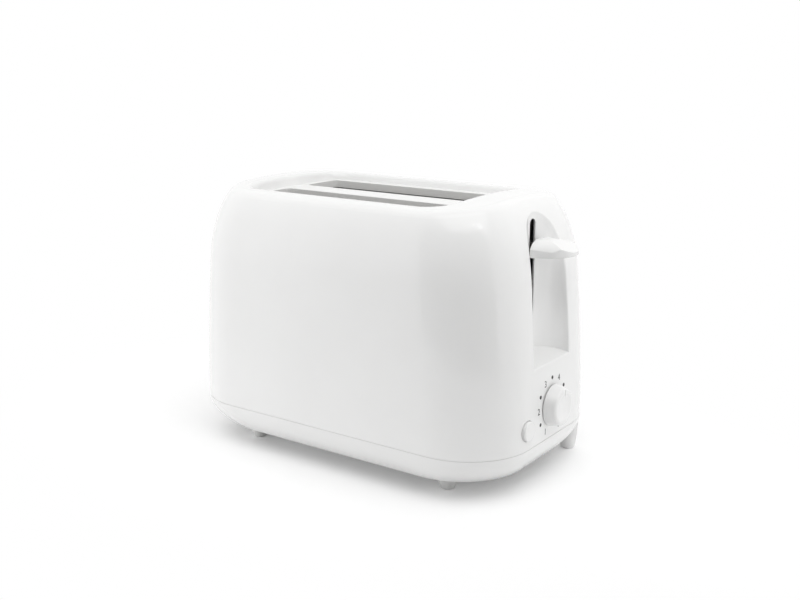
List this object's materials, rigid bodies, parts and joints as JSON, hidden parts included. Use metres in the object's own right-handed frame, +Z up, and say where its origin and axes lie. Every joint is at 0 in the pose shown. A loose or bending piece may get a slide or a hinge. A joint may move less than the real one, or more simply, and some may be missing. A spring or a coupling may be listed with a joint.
{
  "type": "pop up toaster",
  "caption": "Two slot pop up toaster in a rounded white shell, with a side lever in a niche, browning knob, cancel button, wire bread guides and pull out crumb tray.",
  "frame": {"origin": "on the floor under the middle of the overall box, lever included", "axes": "+X along the body towards the lever end, +Y towards the far long side, +Z up"},
  "size_m": [0.262, 0.149, 0.178],
  "materials": {
    "white_shell": "glossy white moulding",
    "white_control": "glossy white moulding, controls",
    "deck_enamel": "white enamel on sheet steel",
    "chassis_steel": "plain aluminised sheet",
    "wire_steel": "drawn wire",
    "spring_steel": "spring wire",
    "mica": "pressed mica sheet",
    "nichrome": "heating ribbon",
    "nylon": "black nylon",
    "core_iron": "stacked core",
    "copper": "enamelled winding",
    "board": "circuit board",
    "leaf_brass": "contact leaf",
    "tray_aluminium": "plain sheet",
    "foot_rubber": "pale grey, soft",
    "gland_plastic": "pale grey",
    "screw_steel": "zinc plated"
  },
  "bodies": {
    "toaster_body": {"outer_shell": "white_shell", "base": "white_shell", "front_feet": "foot_rubber", "cord_gland": "gland_plastic", "slot_deck": "deck_enamel", "front_plate": "chassis_steel", "rear_plate": "chassis_steel", "near_reflector": "chassis_steel", "far_reflector": "chassis_steel", "near_mica_card": "mica", "centre_mica_card": "mica", "far_mica_card": "mica", "near_heating_ribbon": "nichrome", "centre_heating_ribbon": "nichrome", "far_heating_ribbon": "nichrome", "guide_rod": "wire_steel", "lift_spring": "spring_steel", "magnet_core": "core_iron", "magnet_coil": "copper", "control_board": "board", "potentiometer": "nylon", "cancel_switch": "nylon", "contact_block": "nylon", "contact_leaves": "leaf_brass", "base_screws": "screw_steel", "chassis_screws": "screw_steel", "board_screws": "screw_steel"},
    "carriage": {"carriage_bracket": "chassis_steel", "slider_block": "nylon", "near_bread_rack": "chassis_steel", "far_bread_rack": "chassis_steel", "keeper_plate": "core_iron", "contact_pusher": "nylon", "lever_knob": "white_control"},
    "near_outer_guide": {"near_outer_guide": "wire_steel"},
    "near_inner_guide": {"near_inner_guide": "wire_steel"},
    "far_inner_guide": {"far_inner_guide": "wire_steel"},
    "far_outer_guide": {"far_outer_guide": "wire_steel"},
    "dial": {"browning_knob": "white_control", "dial_shaft": "wire_steel"},
    "cancel_button": {"cancel_button": "white_control"},
    "tray": {"crumb_tray": "tray_aluminium", "tray_handle": "white_control"}
  },
  "joints": [
    {"name": "carriage_slide", "type": "slide", "parent": "toaster_body", "child": "carriage", "axis": [0, 0, 1], "range_m": [-0.056, 0.008], "stiffness_N_per_m": 150, "springref_m": 0.00579, "deforming": ["lift_spring"]},
    {"name": "near_outer_guide_swing", "type": "hinge", "parent": "toaster_body", "child": "near_outer_guide", "pos_m": [-0.012, -0.0394, 0.038], "axis": [1, 0, 0], "range_deg": [-4, 0.57]},
    {"name": "near_inner_guide_swing", "type": "hinge", "parent": "toaster_body", "child": "near_inner_guide", "pos_m": [-0.012, -0.0126, 0.038], "axis": [1, 0, 0], "range_deg": [-0.57, 4]},
    {"name": "far_inner_guide_swing", "type": "hinge", "parent": "toaster_body", "child": "far_inner_guide", "pos_m": [-0.012, 0.0126, 0.038], "axis": [1, 0, 0], "range_deg": [-4, 0.57]},
    {"name": "far_outer_guide_swing", "type": "hinge", "parent": "toaster_body", "child": "far_outer_guide", "pos_m": [-0.012, 0.0394, 0.038], "axis": [1, 0, 0], "range_deg": [-0.57, 4]},
    {"name": "browning_dial_turn", "type": "hinge", "parent": "toaster_body", "child": "dial", "pos_m": [0.1192, 0, 0.0503], "axis": [-1, 0, 0], "range_deg": [-150, 150]},
    {"name": "cancel_button_press", "type": "slide", "parent": "toaster_body", "child": "cancel_button", "axis": [-1, 0, 0], "range_m": [0, 0.002], "stiffness_N_per_m": 300, "springref_m": -0.003},
    {"name": "crumb_tray_pull", "type": "slide", "parent": "toaster_body", "child": "tray", "axis": [-1, 0, 0], "range_m": [0, 0.205]}
  ],
  "couplings": [
    {"joint": "near_outer_guide_swing", "follows": "carriage_slide", "rad_per_m": 1.2467},
    {"joint": "near_inner_guide_swing", "follows": "carriage_slide", "rad_per_m": -1.2467},
    {"joint": "far_inner_guide_swing", "follows": "carriage_slide", "rad_per_m": 1.2467},
    {"joint": "far_outer_guide_swing", "follows": "carriage_slide", "rad_per_m": -1.2467}
  ]
}
